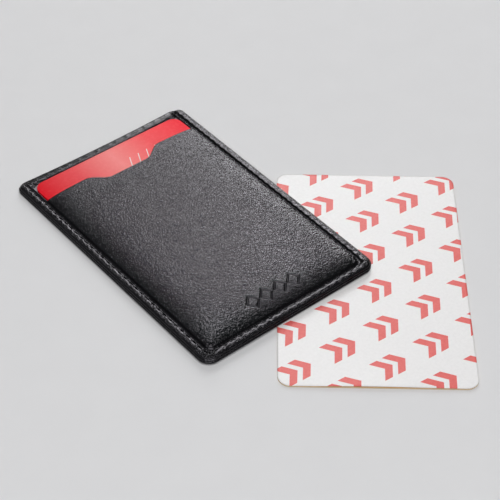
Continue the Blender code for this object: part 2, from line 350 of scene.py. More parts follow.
ARMS = len(ARM) - 1
FRONT_PATH = front_line(STITCH_INSET)
FRONT_RUN = travelled(FRONT_PATH)
BACK_RUN = travelled(back_line(STITCH_INSET))
STITCHES = round(FRONT_RUN[-1] / STITCH_PITCH)
PITCH = FRONT_RUN[-1] / STITCHES


def corner_share(points, inset, sign_x, sign_y):
    """How far round one corner each point is, from 0 to 1, and 0 or 1 beyond its ends."""
    radius = corner_radius(inset)
    x = sign_x * points[:, 0] - (HALF_WIDTH - inset - radius)
    y = sign_y * points[:, 1] - (HALF_LENGTH - inset - radius)
    share = np.arctan2(np.maximum(y, 0.0), np.maximum(x, 1e-9)) / (math.pi / 2)
    return np.where(x > 0, share, y > 0)


def gathers(share, depth):
    """Narrow valleys between rounded lumps round a corner, as a depth at each point."""
    valley = np.abs(np.cos(math.pi * PLEATS * share)) ** 3
    return np.where((share > 0) & (share < 1), depth * valley, 0.0)


# Mesh making


def grid_faces(rows, columns):
    """Faces between the points of a grid, each from its first corner round."""
    first = [row * columns + column for row in range(rows - 1) for column in range(columns - 1)]
    return [(a, a + 1, a + 1 + columns, a + columns) for a in first]


def picked(count, close, step):
    """Indices from 0 to count - 1: the first few all, then every step-th, and the last."""
    return [*range(close), *range(close, count - 1, step), count - 1]


def field_faces(rows, columns, row_pick, column_pick):
    """Faces of a field that is coarse inside and keeps every point along its border."""
    faces = []
    for top, low in zip(row_pick, row_pick[1:]):
        for left, right in zip(column_pick, column_pick[1:]):
            upper = range(left, right) if top == 0 else (left,)
            outer = range(top, low) if right == columns - 1 else (top,)
            lower = range(right, left, -1) if low == rows - 1 else (right,)
            inner = range(low, top, -1) if left == 0 else (low,)
            loop = [top * columns + c for c in upper]
            loop += [r * columns + right for r in outer]
            loop += [low * columns + c for c in lower]
            loop += [r * columns + left for r in inner]
            faces.append(tuple(loop))
    return faces


class Shell:
    """Grids and faces that are welded into one closed mesh."""

    def __init__(self):
        self.points = []
        self.faces = []
        self.wear_and_highlight = []
        self.count = 0

    def add(self, points, faces, wear_and_highlight=0.0):
        points = np.asarray(points, float)
        self.wear_and_highlight.append(np.broadcast_to(wear_and_highlight, points.shape[:-1]).ravel())
        self.points.append(points.reshape(-1, 3))
        self.faces += [tuple(self.count + index for index in face) for face in faces]
        self.count += len(self.points[-1])

    def add_grid(self, grid, wear_and_highlight=0.0):
        self.add(grid, grid_faces(*grid.shape[:2]), wear_and_highlight)

    def mesh(self, name, place, carve):
        """The welded mesh in the row frame, carved before it is placed, with its wear and painted highlight values
        kept.
        """
        data = bpy.data.meshes.new(name)
        data.from_pydata((np.concatenate(self.points) * MM).tolist(), [], self.faces)
        worn_and_highlit = data.attributes.new("wear_and_highlight", "FLOAT", "POINT")
        worn_and_highlit.data.foreach_set("value", np.concatenate(self.wear_and_highlight).astype(np.float32))
        shape = bmesh.new()
        shape.from_mesh(data)
        bmesh.ops.remove_doubles(shape, verts=shape.verts, dist=WELD * MM)
        loose = [v for v in shape.verts if not v.link_faces]
        bmesh.ops.delete(shape, geom=loose, context="VERTS")
        bmesh.ops.recalc_face_normals(shape, faces=shape.faces)
        if carve:
            carve(shape)
        shape.transform(place)
        shape.to_mesh(data)
        shape.free()
        data.shade_smooth()
        return data


def in_scene(name, data):
    """A new object of this data, in the scene."""
    made = bpy.data.objects.new(name, data)
    bpy.context.scene.collection.objects.link(made)
    return made


def piece(name, shell, body, finish, stands_for=(), place=SLEEVE, carve=None):
    """An object of a shell that rides on a CAD body and takes one material."""
    data = shell.mesh(name, place, carve)
    data.materials.append(finish)
    made = in_scene(name, data)
    if stands_for:
        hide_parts(*stands_for)
    if body:
        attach(made, body)
    return made


# Leather front


# Inset, and height above the rim, from the front's outer edge to its shoulder
FRONT_PROFILE = (
    (0.30, -0.30), (0.60, -0.14), (0.95, -0.02), (1.30, 0.05), (1.60, 0.085),
    (1.80, 0.095), (1.98, 0.09), (2.15, 0.08), (2.28, 0.055), (2.37, 0.01),
    (2.44, -0.10), (2.52, -0.25), (2.64, -0.38), (2.80, -GROOVE_DEPTH), (3.00, -0.44),
    (3.20, -0.40), (3.34, -0.32), (3.46, -0.18), (3.54, -0.05), (ARM_WIDTH, 0.06),
    (3.68, 0.19), (3.77, 0.29), (3.87, 0.37), (4.00, 0.44),
    (SHOULDER_TOP, SHOULDER_Z - RIM_TOP),
)
# The same for the part of an arm inside its groove
ARM_PROFILE = (
    (2.80, -GROOVE_DEPTH), (3.00, -0.38), (3.20, -0.27), (3.40, -0.15), (3.50, -0.13),
    (ARM_WIDTH, -0.24),
)


def level_at(inset, profile=FRONT_PROFILE):
    """Height at that inset in a table of insets and heights."""
    return np.interp(inset, *zip(*profile))


def panel_height(x, y):
    """Height of the crowned panel, highest in its middle and at the mouth."""
    side = np.maximum(HALF_WIDTH - np.abs(x) - SHOULDER_TOP, 1e-3)
    end = np.maximum(HALF_LENGTH + y - SHOULDER_TOP, 1e-3)
    distance = 1 / np.hypot(1 / side, 1 / end)
    return SHOULDER_Z + CROWN * (1 - np.exp(-distance / CROWN_RUN)) - corner_dip(x, y)


def corner_dip(x, y):
    """How much lower the panel lies at its right lower corner."""
    side = HALF_WIDTH - x - SHOULDER_TOP
    end = HALF_LENGTH + y - SHOULDER_TOP
    return CORNER_DIP * np.exp(-(side**2 + end**2) / CORNER_REACH**2)


def front_height(inset, points):
    """Height of the front's upper face before its folds and gathers."""
    x, y = points.T
    if inset > SHOULDER_TOP:
        return panel_height(x, y)
    return RIM_TOP + level_at(inset) - smooth(3.2, SHOULDER_TOP, inset) * corner_dip(x, y)


def lip_drop(x, y, height):
    """How far the panel's edge is rolled down near the mouth."""
    radius = np.minimum(LIP_RADIUS, LIP_SHARE * (height - LINING_LOW[2]).clip(0.05))
    away = np.clip(mouth_line(x) - y, 0.0, None)
    inside = np.clip(radius - away, 0.0, None)
    return radius - np.sqrt(np.clip(radius**2 - inside**2, 0.0, None))


def stitch_wave(run):
    """1 over the holes between two stitches and -1 at the middle of a stitch."""
    return np.cos(2 * math.pi * run / PITCH)


def arm_drop(inset):
    """How much lower an arm lies at that inset than the strip beside the panel."""
    if inset <= ARM_PROFILE[0][0]:
        return 0.0
    return level_at(inset) - level_at(inset, ARM_PROFILE)


def front_shift(inset, points, run):
    """Inset and height that stitches, crumples and gathers add to one line of the front."""
    bead = hump(*BEAD_SPAN, inset)
    scallop = SCALLOP * stitch_wave(run)
    bottom = smooth(HALF_LENGTH - 9, HALF_LENGTH - 5, -points[:, 1])
    crumple = CRUMPLE * (0.35 + 0.65 * bottom) * wander(run * 1.6, 1.0)
    left_corner = gathers(corner_share(points, inset, -1, -1), PLEAT_DEPTH)
    inwards = bead * (scallop + crumple) * (1 - smooth(0.0, 0.01, left_corner))
    left_side = smooth(HALF_WIDTH - 6, HALF_WIDTH - 4, -points[:, 0])
    inwards = inwards - LEFT_NARROWING * left_side * hump(*NARROW_SPAN, inset)
    drop = hump(*GATHER_SPAN, inset) * left_corner
    lift = STITCH_PULL * stitch_wave(run) + UNEVEN * wander(run * 2.3, 3.0)
    return inwards, hump(*PULL_SPAN, inset) * lift - drop


def crease_height(x, y):
    """The mitred fold at the right bottom corner: three short ridges that meet in a Y."""
    joint_x = HALF_WIDTH - CREASE_INSET
    joint_y = -(HALF_LENGTH - CREASE_INSET)
    total = np.zeros_like(x)
    for end_x, end_y in CREASE_ENDS:
        length = math.hypot(end_x, end_y)
        along = ((x - joint_x) * end_x + (y - joint_y) * end_y) / length
        away = np.abs((x - joint_x) * end_y - (y - joint_y) * end_x) / length
        reach = smooth(-0.25, 0.05, along) * (1 - smooth(length - 0.4, length, along))
        total = np.maximum(total, reach * np.exp(-((away / CREASE_WIDTH) ** 2)))
    return CREASE_RISE * total


def tip_share(y):
    """How much of its height an arm keeps, which rolls down towards its tip."""
    over = np.clip(y - (ARM_TOP - TIP_ROLL), 0.0, TIP_ROLL) / TIP_ROLL
    return TIP_END + (1 - TIP_END) * np.sqrt(1 - over**2)


def front_strip(levels, arms):
    """A grid of the front's upper face along its U, one row for each inset."""
    rows = []
    run = FRONT_RUN if arms else FRONT_RUN[ARMS:-ARMS]
    for inset in levels:
        points = front_line(inset, arms)
        inwards, lift = front_shift(inset, points, run)
        shifted = move_in(points, inwards)
        height = front_height(inset, points) + lift + crease_height(shifted[:, 0], shifted[:, 1])
        if arms:
            height = height - arm_drop(inset) * smooth(MOUTH_Y, MOUTH_Y + 0.3, points[:, 1])
            height = SEAM_Z + (height - SEAM_Z) * tip_share(points[:, 1])
        else:
            height = height - lip_drop(*points.T, height)
        rows.append(np.column_stack([shifted, height]))
    return np.array(rows)


def move_in(points, distance):
    """Points of the U moved square to it, inwards by distance."""
    step = np.gradient(points, axis=0)
    length = np.maximum(np.linalg.norm(step, axis=1), 1e-9)
    inward = np.stack([-step[:, 1], step[:, 0]], 1) / length[:, None]
    return points + inward * np.asarray(distance)[:, None]


def outer_side(low, high, bulge):
    """Insets and heights up a turned outer edge, from its lower to its upper end."""
    angle = math.pi * (np.arange(EDGE_STEPS + 1) / EDGE_STEPS - 0.5)
    heights = (low + high) / 2 + (high - low) / 2 * np.sin(angle)
    return list(zip(bulge * (1 - np.cos(angle)), heights))


# Inset and height of the front's underside, from its hem to the leather under the panel
UNDER_STEPS = (
    (ARM_WIDTH, SEAM_Z),
    (3.61, RIM_TOP - 0.50),
    (3.82, LINING_LOW[2] - 0.15),
    (4.00, LINING_LOW[2]),
    (4.17, LINING_LOW[2]),
)
PANEL_INSETS = (4.18, 4.4, 4.8, 5.3, 5.8, FIELD_INSET)
WALL_STEPS = 5


def under_line(inset):
    """The front's underside at that inset: its hem, its wall or the leather under the panel."""
    points = front_line(inset, False)
    height = under_panel(*points.T)
    if inset <= UNDER_STEPS[-1][0]:
        height = np.full(len(points), level_at(inset, UNDER_STEPS))
    return np.column_stack([points, height])


def under_panel(x, y):
    """The leather's inner face, and the hem that is folded under it along the mouth."""
    away = mouth_line(x) - y
    inner = np.maximum(panel_height(x, y) - LEATHER, SHIELD_TOP + GLUE)
    return np.where(away < HEM_DEPTH - 0.01, LINING_LOW[2], inner)


# Wear and painted highlight of each row of the front's outer side: darker where it meets the back, and a little
# lighter across its bulge as a painted highlight
EDGE_WEAR_AND_HIGHLIGHT = (0.0, 0.0, -0.8, -0.4, 0.0, 0.1, 0.1, 0.0, 0.0, 0.0)


def front_edge_rows():
    """The bottom and the outer side of the front's bead, from the inner foot to the top."""
    rows = []
    top_inset, top_rise = FRONT_PROFILE[0]
    top = RIM_TOP + top_rise
    foot = [(ARM_WIDTH, SEAM_Z), (FOOT_INSET, SEAM_Z)]
    for inset, height in foot + outer_side(SEAM_Z, top, FRONT_EDGE_BULGE)[:-1]:
        points = front_line(inset)
        lean = smooth(SEAM_Z + 0.3, top, height) * top_inset
        ripple = FRONT_EDGE_RIPPLE * wander(FRONT_RUN * 0.7, 5.0) * (inset < 0.4)
        moved = move_in(points, lean + ripple)
        level = SEAM_Z + (height - SEAM_Z) * tip_share(points[:, 1])
        rows.append(np.column_stack([moved, level]))
    return np.array(rows)


FIELD_X = (HALF_WIDTH - FIELD_INSET) * (2 * BOTTOM - 1)


def field_points(top, down):
    """Plan points inside the border, as rows down from the line of the mouth side."""
    low = FIELD_INSET - HALF_LENGTH
    return np.array([np.column_stack([FIELD_X, top + (low - top) * share]) for share in down])


def front_shell():
    """The front cover: bead, stitching groove, crowned panel, folded mouth and two arms."""
    shell = Shell()
    outer = [inset for inset, _ in FRONT_PROFILE if inset <= ARM_WIDTH]
    inner = {inset for inset, _ in FRONT_PROFILE if inset >= ARM_WIDTH}
    inner = sorted(inner | {inset for inset, _ in UNDER_STEPS} | set(PANEL_INSETS))
    bead = front_strip(outer, True)
    edge = front_edge_rows()
    whole = np.concatenate([edge, bead])
    # The ridge's crest is lighter, partly rubbed wear and partly a painted highlight.
    wear_and_highlight = np.concatenate([EDGE_WEAR_AND_HIGHLIGHT, hump(*RUBBED_HIGHLIGHT_SPAN, np.array(outer))])
    shell.add_grid(whole, wear_and_highlight[:, None])

    walls = between(whole[-1], whole[0])
    shell.add_grid(walls[:, :ARMS + 1])
    shell.add_grid(walls[:, -ARMS - 1:])
    for tip in (0, -1):
        ring = np.concatenate([whole[:, tip], walls[1:-1, tip]])
        shell.add(ring, [tuple(range(len(ring)))])

    upper = front_strip(inner, False)
    upper[0] = bead[-1][ARMS:-ARMS]
    under = np.array([under_line(inset) for inset in inner])
    under[0] = edge[0][ARMS:-ARMS]
    shell.add_grid(upper)
    shell.add_grid(under)

    field = field_points(mouth_line(FIELD_X), SIDE)
    x, y = np.moveaxis(field, -1, 0)
    high = panel_height(x, y)
    top = np.dstack([field, high - lip_drop(x, y, high)])
    low = np.dstack([field, under_panel(x, y)])
    rows, across = field.shape[:2]
    for face, step in ((top, TOP_PICK), (low, UNDER_PICK)):
        row_pick = picked(rows, len(MOUTH_ROWS), step)
        shell.add(face, field_faces(rows, across, row_pick, picked(across, 1, step)))

    lip = np.concatenate([upper[:-1, 0], top[0], upper[:-1, -1][::-1]])
    foot = np.concatenate([under[:-1, 0], low[0], under[:-1, -1][::-1]])
    arm_x = HALF_WIDTH - ARM_WIDTH
    swell = 1 - smooth(arm_x - 0.8, arm_x, np.abs(lip[:, 0]))
    wall = between(lip, foot)
    for step in range(1, WALL_STEPS):
        wall[step, :, 1] += LIP_BULGE * math.sin(math.pi * step / WALL_STEPS) * swell
    shell.add_grid(wall)
    return shell


def between(upper, lower):
    """Rows of points from one line down to another."""
    return np.array([upper + (lower - upper) * step / WALL_STEPS for step in range(WALL_STEPS + 1)])


# Pressed ornament, and the half width and half height of the panel that is refined for it
MARK_Y = -38.0
MARK_HALF = (9.6, 3.0)
LOZENGES = 4
LOZENGE_STEP = 4.9
LOZENGE_HALF = (2.1, 2.3)
MARK_STROKE = 0.46
MARK_DEPTH = 0.26
MARK_CUTS = 4


def mark_depth(x, y):
    """Depth of the pressed ornament, a chain of open lozenges, at a place on the panel."""
    half_x, half_y = LOZENGE_HALF
    slope = math.hypot(1 / half_x, 1 / half_y)
    depth = 0.0
    for index in range(LOZENGES):
        middle = (index - (LOZENGES - 1) / 2) * LOZENGE_STEP
        away = abs(x - middle) / half_x + abs(y - MARK_Y) / half_y
        depth = max(depth, 1 - float(smooth(0.0, MARK_STROKE, abs(away - 1) / slope)))
    return MARK_DEPTH * depth


def press_mark(shape):
    """Refines the panel where the ornament is and presses it into the leather."""
    reach_x, reach_y = (half * MM for half in MARK_HALF)
    reach_z = (SHIELD_TOP + LEATHER) * MM
    faces = []
    for face in shape.faces:
        middle = face.calc_center_median()
        inside = abs(middle.x) < reach_x and abs(middle.y - MARK_Y * MM) < reach_y
        if inside and middle.z > reach_z:
            faces.append(face)
    edges = list({edge for face in faces for edge in face.edges})
    bmesh.ops.subdivide_edges(shape, edges=edges, cuts=MARK_CUTS, use_grid_fill=True)
    high = [face for face in shape.faces if face.calc_center_median().z > reach_z]
    bmesh.ops.poke(shape, faces=[face for face in high if len(face.verts) > 4])
    wear_and_highlight = shape.verts.layers.float["wear_and_highlight"]
    for vert in shape.verts:
        if vert.co.z > reach_z:
            depth = mark_depth(vert.co.x / MM, vert.co.y / MM)
            vert.co.z -= depth * MM
            vert[wear_and_highlight] -= depth / MARK_DEPTH


def cover(side, shell, leather, carve=None):
    """One leather cover of the sleeve, with its turned edges."""
    stands_for = [f"sleeve_{side}_cover"]
    name = f"sleeve_{side}_leather"
    made = piece(name, shell, "sleeve", leather, stands_for, carve=carve)


# Leather back


TRAY_INSET = 2.9
FLOOR_INSET = 4.4
BACK_EDGE_TOP = BACK_TOP - 0.02
BACK_EDGE_BULGE = 0.55
MOUTH_PLEAT_DEPTH = 0.14
MOUTH_CRUMPLE = 0.03
MOUTH_EDGE_RISE = 0.07
# Inset and height of the back's underside, with the stitching groove
BACK_UNDER = (
    (FIELD_INSET, 0.0),
    (3.40, 0.0),
    (3.10, 0.05),
    (2.84, 0.22),
    (STITCH_INSET, 0.28),
    (2.26, 0.22),
    (2.00, 0.05),
    (1.50, 0.0),
)
# Inset, height from the back's top, and at the mouth side the extra inset and that height
BACK_RIM = (
    (0.90, 0.0, 0.00, 0.17),
    (1.30, 0.0, 0.00, 0.275),
    (1.70, 0.0, 0.00, 0.34),
    (2.05, 0.0, 0.00, 0.37),
    (2.25, -0.01, 0.06, 0.375),
    (2.45, -0.02, 0.14, 0.355),
    (2.60, -0.03, 0.20, 0.30),
    (2.72, -0.05, 0.30, 0.215),
    (2.80, -0.06, 0.43, 0.125),
    (2.86, -0.07, 0.62, 0.04),
    (TRAY_INSET, -0.09, 0.95, 0.005),
    (TRAY_INSET, -0.12, 0.02, 0.005),
)


def back_profile():
    """Inset and height round the back's edge, then how much both change at the mouth side."""
    rows = [(inset, height, 0.0, 0.0) for inset, height in BACK_UNDER]
    for inset, height in outer_side(0.0, BACK_EDGE_TOP, BACK_EDGE_BULGE):
        rows.append((inset, height, 0.0, MOUTH_EDGE_RISE * smooth(0.9, BACK_EDGE_TOP, height)))
    rows += [(inset, BACK_TOP + low, wider, high - low) for inset, low, wider, high in BACK_RIM]
    return rows + [(inset, LEATHER, 0.0, 0.0) for inset in (TRAY_INSET, FLOOR_INSET, FIELD_INSET)]


def back_shell():
    """The back cover: a flat face, a turned edge all round and a bead along the mouth side.

    Its mouth share is 1 on the side where the card comes out, 0 on the others, and
    changes round the corners.
    """
    shell = Shell()
    rows = []
    wear_and_highlight = []
    for inset, height, wider, higher in back_profile():
        points = back_line(inset)
        corners = [corner_share(points, inset, sign, 1) for sign in (-1, 1)]
        mouth = smooth(0.2, 0.6, np.minimum(*corners))
        gather = sum(gathers(share, MOUTH_PLEAT_DEPTH) for share in corners)
        upper = smooth(0.45, 0.9, height) * hump(*BACK_GATHER_SPAN, inset)
        grain = MOUTH_CRUMPLE * (wander(BACK_RUN * 1.1, 2.0) - 1.0)
        z = height + mouth * higher + upper * (grain * mouth - gather)
        share = mouth[:, None]
        spread = points * (1 - share) + back_line(inset + wider) * share
        rows.append(np.column_stack([spread, z]))
        # The back's turned edge is lighter along its top, partly rubbed wear and partly a painted highlight.
        wear_and_highlight.append(hump(*BACK_RUBBED_HIGHLIGHT_SPAN, inset) * (height > 0.5))
    shell.add_grid(np.array(rows), np.array(wear_and_highlight)[:, None])

    top = HALF_LENGTH - FIELD_INSET - MOUTH_BOW * (1 - (FIELD_X / FIELD_X[-1]) ** 2)
    field = field_points(top, FULL_SIDE)
    rows, across = field.shape[:2]
    faces = field_faces(rows, across, *(picked(count, 1, UNDER_PICK) for count in (rows, across)))
    for height in (0.0, LEATHER):
        shell.add(np.dstack([field, np.full((rows, across), height)]), faces)
    return shell


# Stitching


THREAD_SIDES = 8
THREAD_RINGS = 10
# Height and the way out of the leather of the stitches in the front's and the back's groove
STITCH_ROWS = ((GROOVE_Z + 0.06, 1), (0.20, -1))


def stitch_rings(centre, height, sign):
    """Rings of one stitch: a bar of thread whose ends dive into their holes."""
    share = np.linspace(-1, 1, THREAD_RINGS + 1)
    at = centre + share * STITCH_LENGTH / 2
    here, ahead = (
        np.stack([np.interp(run, FRONT_RUN, FRONT_PATH[:, axis]) for axis in (0, 1)], 1)
        for run in (at, at + 0.05)
    )
    along = (ahead - here) / np.linalg.norm(ahead - here, axis=1)[:, None]
    side = np.stack([-along[:, 1], along[:, 0]], 1)
    dive = np.abs(share) ** 4
    thick = THREAD_RADIUS * (1 - THREAD_TAPER * dive)[:, None]
    middle = (height - sign * THREAD_DIVE * dive)[:, None]
    angle = 2 * math.pi * np.arange(THREAD_SIDES) / THREAD_SIDES
    spots = here[:, None] + side[:, None] * (thick * np.cos(angle))[..., None]
    return np.dstack([spots, middle + thick * np.sin(angle)])


def stitching(thread):
    """One row of stitches round three sides, seen in the front's and the back's groove."""
    shell = Shell()
    for index in range(STITCHES):
        for height, sign in STITCH_ROWS:
            rings = stitch_rings((index + 0.5) * PITCH, height, sign)
            shell.add_grid(np.concatenate([rings, rings[:, :1]], axis=1))
            for end in (rings[0], rings[-1]):
                shell.add(end, [tuple(range(THREAD_SIDES))])
    piece("sleeve_stitching", shell, "sleeve", thread)


# Linings and padding


LINING_RADIUS = 1.0
TRAY_RIPPLE = 0.012
TRAY_SINK = 0.015


def marks(low, high, radius, step, corner_steps=8):
    """Places from low to high, closer together over a radius at both ends."""
    inner = max(2, round((high - low - 2 * radius) / step))
    ends = np.linspace(0, radius, corner_steps + 1)[:-1]
    middle = np.linspace(low + radius, high - radius, inner + 1)
    return np.concatenate([low + ends, middle, (high - ends)[::-1]])


def rounded_grid(low, high, radius, step):
    """Plan points of a rounded rectangle as a grid of rows and columns."""
    sides = (marks(low[axis], high[axis], radius, step) for axis in (0, 1))
    plan = np.dstack(np.meshgrid(*sides))
    away = plan - (low + high) / 2
    over = np.maximum(np.abs(away) - (high - low) / 2 + radius, 0.0)
    length = np.maximum(np.hypot(over[..., 0], over[..., 1]), 1e-9)
    short = np.where(over.min(-1) > 0, 1 - over.max(-1) / length, 0.0)
    return plan - np.sign(away) * over * short[..., None]


def border(grid):
    """A grid's points along its border, once round."""
    return np.concatenate([grid[0], grid[1:, -1], grid[-1, -2::-1], grid[-2::-1, 0]])


def slab(plan, low, high):
    """A closed sheet over a grid of plan points, between two heights given at each of them."""
    shell = Shell()
    sides = [np.dstack([plan, np.broadcast_to(z, plan.shape[:2])]) for z in (low, high)]
    for side in sides:
        shell.add_grid(side)
    shell.add_grid(np.array([border(side) for side in sides]))
    return shell


def under_mouth(plan, top):
    """Plan points whose upper end follows the notched mouth instead of a straight line."""
    low = plan[..., 1].min()
    drop = MOUTH_Y - mouth_line(plan[..., 0])
    moved = plan.copy()
    moved[..., 1] -= drop * (plan[..., 1] - low) / (top - low)
    return moved


def lining(side, place, shell, fabric):
    """A fabric glued to the shield on one side of the pocket."""
    stands_for = [f"sleeve_{side}_lining"]
    made = piece(f"sleeve_{place}_lining", shell, "sleeve", fabric, stands_for)


def back_lining(fabric):
    """The pocket's floor, glued over the board's shield."""
    plan = rounded_grid(TRAY_LOW[:2], TRAY_HIGH[:2], GROOVE_RADIUS, LINING_STEP)
    ripple = TRAY_RIPPLE * np.sin(plan[..., 0] * 0.9 + plan[..., 1] * 0.35)
    shell = slab(plan, TRAY_LOW[2], TRAY_HIGH[2] - TRAY_SINK + ripple)
    lining("back", "tray", shell, fabric)


def front_lining(fabric):
    """The pocket's roof, which ends at the folded mouth."""
    plan = rounded_grid(LINING_LOW[:2], LINING_HIGH[:2], LINING_RADIUS, LINING_STEP)
    shell = slab(under_mouth(plan, LINING_HIGH[1]), LINING_LOW[2], LINING_HIGH[2])
    lining("front", "mouth", shell, fabric)


def front_padding(foam):
    """Thin foam under the front leather, thickest where the panel is highest."""
    plan = rounded_grid(FOAM_LOW[:2], FOAM_HIGH[:2], LINING_RADIUS, FOAM_STEP)
    plan = under_mouth(plan, FOAM_HIGH[1])
    high = under_panel(plan[..., 0], plan[..., 1]) - GLUE
    shell = slab(plan, FOAM_LOW[2], np.maximum(high, FOAM_LOW[2] + 0.05))
    stands_for = ["sleeve_front_padding"]
    piece("sleeve_foam", shell, "sleeve", foam, stands_for)


# Adhesive pad


PAPER_LIFT = 0.30
PAPER_LIFT_LENGTH = 5.0
PAPER_LIFT_SPAN = 15.0
FOLD_RUN = 11.0
PRINT_SPAN = 100.0


def print_plan(data):
    """Lays the print on the paper by its place on the pad."""
    inverse = PAD.inverted()
    layer = data.uv_layers.new(name="print")
    for loop, spot in zip(data.loops, layer.data):
        place = inverse @ data.vertices[loop.vertex_index].co / (PRINT_SPAN * MM)
        spot.uv = (place.x + 0.5, place.y + 0.5)


def printed_liner(paper):
    """The pad's printed release paper, one sheet whose near right corner peels back."""
    half = np.maximum(-LINER_LOW, LINER_HIGH)[:2]
    plan = rounded_grid(-half, half, PAD_RADIUS, PAPER_STEP)
    along = (plan[..., 1] + half[1]) / PAPER_LIFT_LENGTH
    across = plan[..., 0] / PAPER_LIFT_SPAN
    lift = PAPER_LIFT * np.exp(-(along**2 + across**2))
    shell = slab(plan, LINER_LOW[2] + lift, LINER_HIGH[2] + lift)
    stands_for = ["pad_printed_liner", "pad_liner_corner"]
    made = piece("pad_release_paper", shell, None, paper, stands_for, PAD)
    print_plan(made.data)
    fold = Vector(joint("liner_peel")["pos_m"])
    away = Vector(joint("liner_peel")["axis"]).cross(Vector((0, 0, 1))).normalized()
    if (fold - PAD.translation).dot(away) < 0:
        away = -away
    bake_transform(made, "pad", "liner_corner", start=fold, end=fold + away * FOLD_RUN * MM)


# Materials


class Nodes:
    """Short calls for a material's node tree."""

    def __init__(self, name):
        self.material = bpy.data.materials.new(name)
        self.material.use_nodes = True
        self.tree = self.material.node_tree
        self.shader = self.tree.nodes["Principled BSDF"]

    def feed(self, socket, value):
        """Links a socket to another one, or sets its value."""
        if isinstance(value, bpy.types.NodeSocket):
            self.tree.links.new(value, socket)
        else:
            socket.default_value = value

    def node(self, kind, inputs=None, **settings):
        made = self.tree.nodes.new(kind)
        for key, value in settings.items():
            setattr(made, key, value)
        for key, value in (inputs or {}).items():
            self.feed(made.inputs[key], value)
        return made

    def math(self, operation, a, b=0.0, clamp=False):
        made = self.node("ShaderNodeMath", {0: a, 1: b}, operation=operation, use_clamp=clamp)
        return made.outputs[0]

    def add(self, a, b):
        return self.math("ADD", a, b)

    def times(self, a, b, clamp=False):
        return self.math("MULTIPLY", a, b, clamp)

    def apart(self, a, b):
        """How far one value is from another."""
        return self.math("ABSOLUTE", self.math("SUBTRACT", a, b))

    def place(self):
        return self.node("ShaderNodeTexCoord").outputs["Object"]

    def noise(self, place, scale, detail=3.0, roughness=0.5):
        inputs = {"Vector": place, "Scale": scale, "Detail": detail, "Roughness": roughness}
        return self.node("ShaderNodeTexNoise", inputs).outputs["Fac"]

    def ramp(self, value, stops):
        made = self.node("ShaderNodeValToRGB", {"Fac": value})
        elements = made.color_ramp.elements
        while len(elements) < len(stops):
            elements.new(0.5)
        for element, (position, colour) in zip(elements, stops):
            element.position = position
            element.color = (*colour, 1.0)
        return made.outputs["Color"]

    def mix(self, share, first, second):
        """The first colour where the share is 0, and the second where it is 1."""
        inputs = {"Factor": share, "A": first, "B": second}
        return self.node("ShaderNodeMix", inputs, data_type="RGBA").outputs["Result"]

    def mapped(self, value, low, high, first=0.0, last=1.0):
        """The value, whose range from first to last becomes the one from low to high."""
        ends = {"From Min": first, "From Max": last, "To Min": low, "To Max": high}
        return self.node("ShaderNodeMapRange", {"Value": value, **ends}).outputs["Result"]

    def bump(self, height, distance, strength=1.0, normal=None):
        inputs = {"Height": height, "Distance": distance, "Strength": strength}
        if normal is not None:
            inputs["Normal"] = normal
        return self.node("ShaderNodeBump", inputs).outputs["Normal"]

    def put(self, **values):
        """Sets or links the shader's own sockets, named with _ for a space."""
        for key, value in values.items():
            self.feed(self.shader.inputs[key.replace("_", " ")], value)


def leather_material():
    """Black imitation leather: fine pebbles, finer pores, and ridges rubbed a little, whose lighter colour is
    partly wear and partly a painted highlight.
    """
    nodes = Nodes("black_grained_leather")
    place = nodes.place()
    offset = nodes.times(nodes.noise(place, 900.0, 2.0), 0.0005)
    shifted = nodes.node("ShaderNodeVectorMath", {0: place, 1: offset}, operation="ADD")
    cells = nodes.node(
        "ShaderNodeTexVoronoi",
        {"Vector": shifted.outputs[0], "Scale": 2100.0},
        feature="DISTANCE_TO_EDGE",
    )
    pebbles = nodes.mapped(cells.outputs["Distance"], 0.0, 1.0, 0.0, 0.14)
    pores = nodes.noise(place, 1900.0, 0.0)
    broad = nodes.noise(place, 130.0, 2.0)
    grain = nodes.add(nodes.times(pebbles, 0.3), nodes.times(pores, 1.6))
    worn_and_highlit = nodes.node("ShaderNodeAttribute", attribute_name="wear_and_highlight").outputs["Fac"]
    normal = nodes.bump(grain, 0.00006, nodes.mapped(worn_and_highlit, 1.0, 0.3))
    normal = nodes.bump(broad, 0.0003, 0.15, normal)
    tone = nodes.noise(place, 260.0, 3.0)
    base = nodes.ramp(tone, ((0.25, (0.002, 0.002, 0.0025)), (0.8, (0.005, 0.005, 0.006))))
    pressed = nodes.times(worn_and_highlit, -1.0, clamp=True)
    # Rubbed ridges and edges take a lighter colour, partly wear and partly a painted highlight along them.
    colour = nodes.mix(worn_and_highlit, base, (0.018, 0.018, 0.019, 1.0))
    rough = nodes.mapped(pebbles, 0.20, 0.12)
    rough = nodes.add(rough, nodes.times(worn_and_highlit, 0.06, clamp=True))
    rough = nodes.add(rough, nodes.times(pressed, 0.25))
    nodes.put(Base_Color=colour, Roughness=rough, Normal=normal)
    nodes.put(Specular_IOR_Level=0.4, Specular_Tint=(0.95, 0.91, 1.0, 1.0))
    return nodes.material


def thread_material():
    """Black polyester thread with a fine twist."""
    nodes = Nodes("black_thread")
    strands = nodes.noise(nodes.place(), 6000.0, 1.0)
    nodes.put(Base_Color=(0.004, 0.004, 0.005, 1.0), Roughness=0.6, Specular_IOR_Level=0.25)
    nodes.put(Normal=nodes.bump(strands, 0.00008, 0.6))
    return nodes.material


